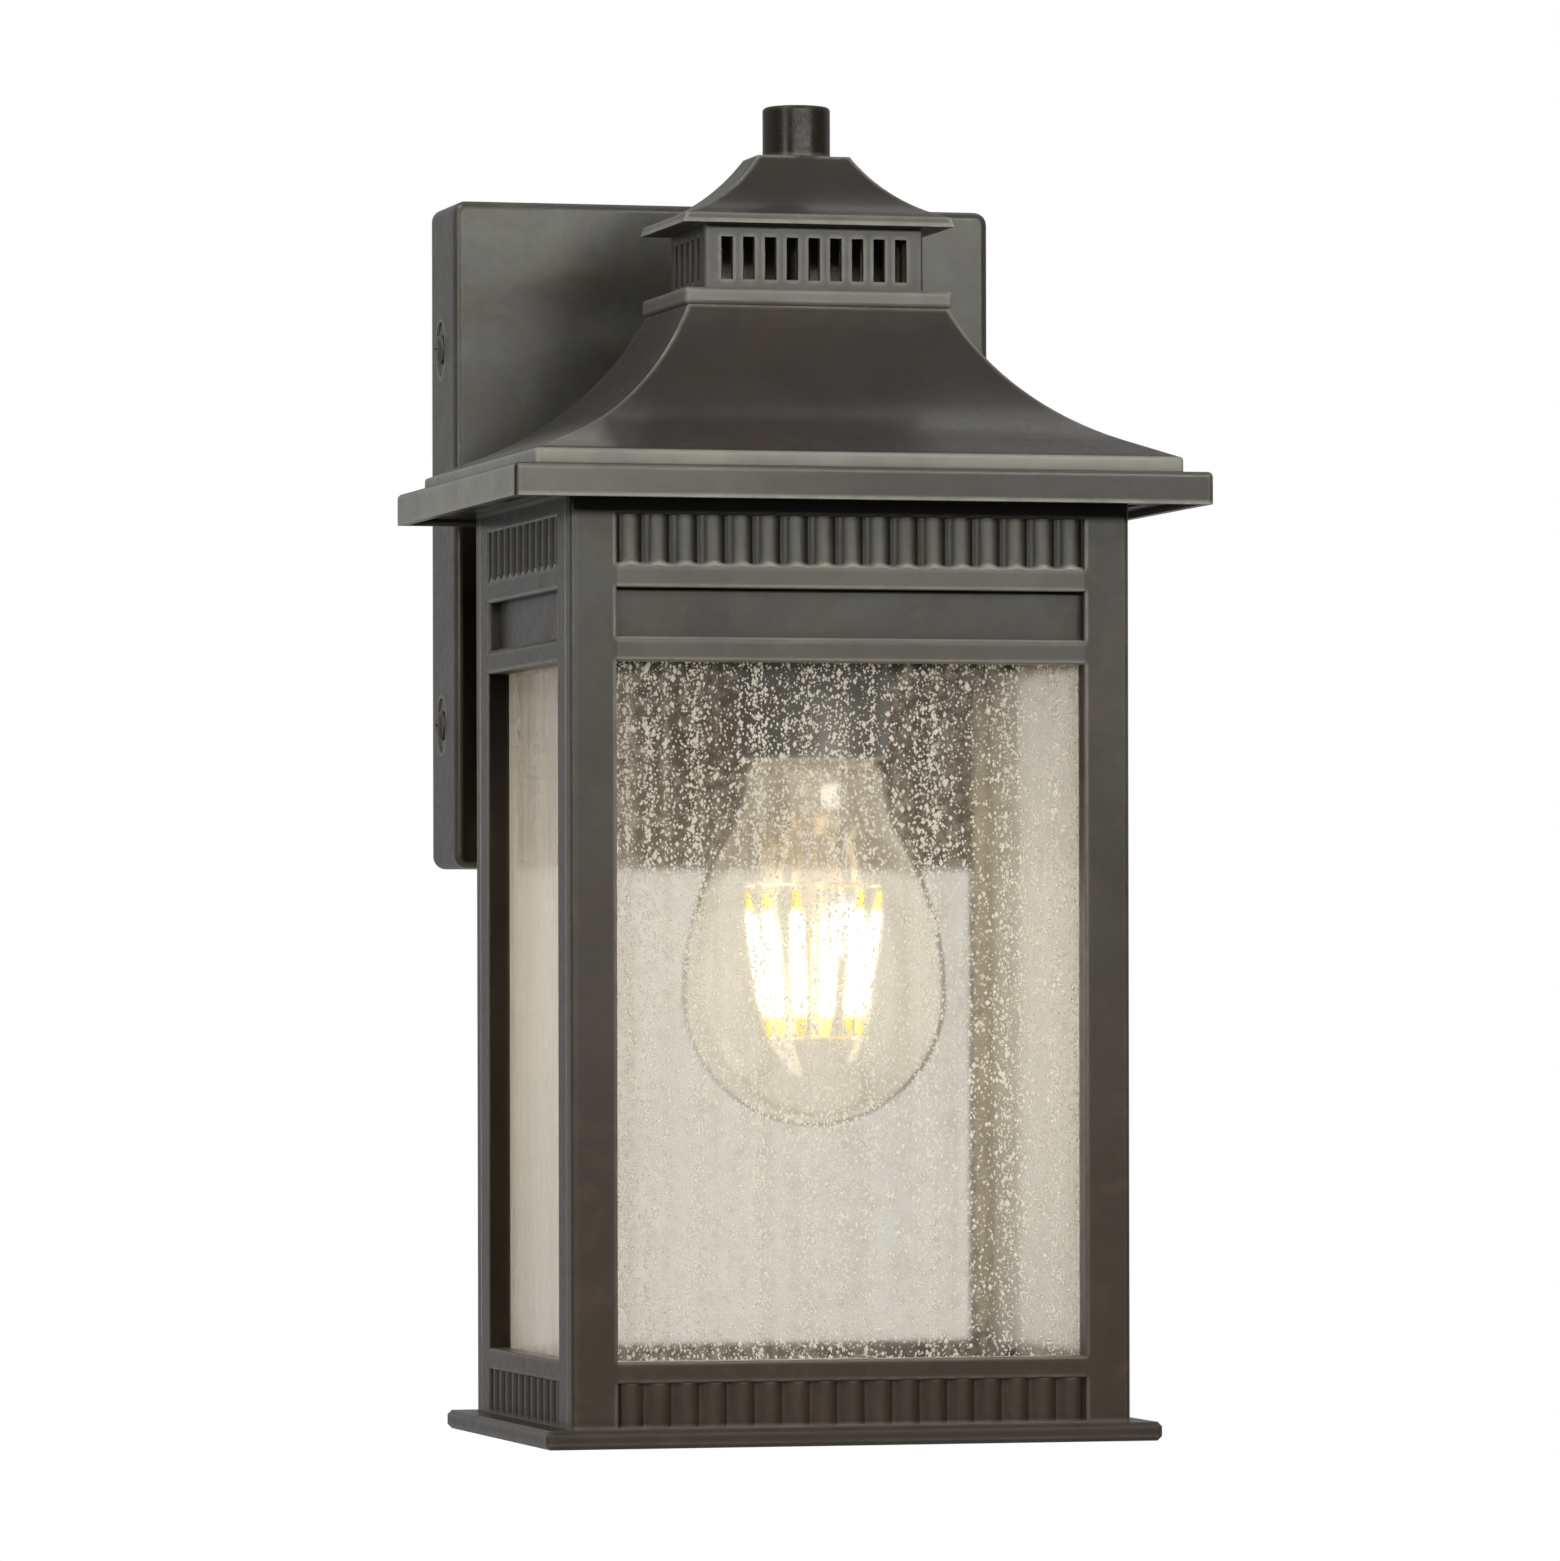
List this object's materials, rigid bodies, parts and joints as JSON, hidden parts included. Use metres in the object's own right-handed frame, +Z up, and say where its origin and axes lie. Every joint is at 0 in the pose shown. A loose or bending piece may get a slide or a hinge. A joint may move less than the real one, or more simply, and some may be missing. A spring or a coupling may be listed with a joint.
{
  "type": "outdoor wall light",
  "caption": "Outdoor wall lantern with a flared hip roof, louvred cupola, reeded friezes and seeded glass panes round a clear filament lamp, carried by a shallow rectangular back plate.",
  "frame": {"origin": "centre of the back plate on the wall plane", "axes": "+Y into the wall, -Y out to the front, +Z up, +X to the viewer's right"},
  "size_m": [0.159, 0.1523, 0.3003],
  "materials": {
    "bronze": "satin antique bronze paint, mottled, edges rubbed lighter",
    "seeded_glass": "clear glass full of fine seeds",
    "zinc_steel": "zinc plated",
    "green_steel": "green painted head",
    "copper": "bare copper wire",
    "porcelain": "white glaze",
    "brass": "plain brass",
    "lamp_metal": "bright",
    "black_glass": "black insulator",
    "clear_glass": "clear blown glass",
    "filament": "warm light bars",
    "black_wire": "insulated lead",
    "white_wire": "insulated lead",
    "connector": "moulded",
    "black_plastic": "moulded"
  },
  "bodies": {
    "lantern": {"arm": "bronze", "arm_bolts": "zinc_steel", "arm_nuts": "zinc_steel", "back_glass": "seeded_glass", "back_panel": "bronze", "back_plate": "bronze", "base_plate": "bronze", "base_screws": "zinc_steel", "black_lead": "black_wire", "bracket_screws": "zinc_steel", "cap_roof": "bronze", "cupola": "bronze", "front_glass": "seeded_glass", "front_panel": "bronze", "glass_clips": "zinc_steel", "ground_lead": "copper", "ground_screw": "green_steel", "lead_bushing": "black_plastic", "left_glass": "seeded_glass", "left_panel": "bronze", "main_roof": "bronze", "mounting_bracket": "zinc_steel", "plate_screws": "bronze", "right_glass": "seeded_glass", "right_panel": "bronze", "rod_nuts": "zinc_steel", "roof_rod": "zinc_steel", "screw_shell": "brass", "socket_body": "porcelain", "socket_bracket": "zinc_steel", "socket_contact": "brass", "socket_cup": "bronze", "socket_screws": "zinc_steel", "soffit_plate": "bronze", "terminal_posts": "brass", "top_screws": "zinc_steel", "white_lead": "white_wire", "wire_connectors": "connector"},
    "lamp": {"bulb_glass": "clear_glass", "bulb_stem": "clear_glass", "filaments": "filament", "filament_wires": "lamp_metal", "lamp_cap": "lamp_metal", "lamp_insulator": "black_glass", "lamp_tip": "lamp_metal"},
    "finial": {"finial": "bronze"}
  },
  "joints": [
    {"name": "finial_turn", "type": "hinge", "parent": "lantern", "child": "finial", "pos_m": [0, -0.091, 0.085], "axis": [0, 0, 1], "continuous": true},
    {"name": "lamp_turn", "type": "hinge", "parent": "lantern", "child": "lamp", "pos_m": [0.0035, -0.091, -0.05], "axis": [0, 0, 1], "continuous": true}
  ]
}
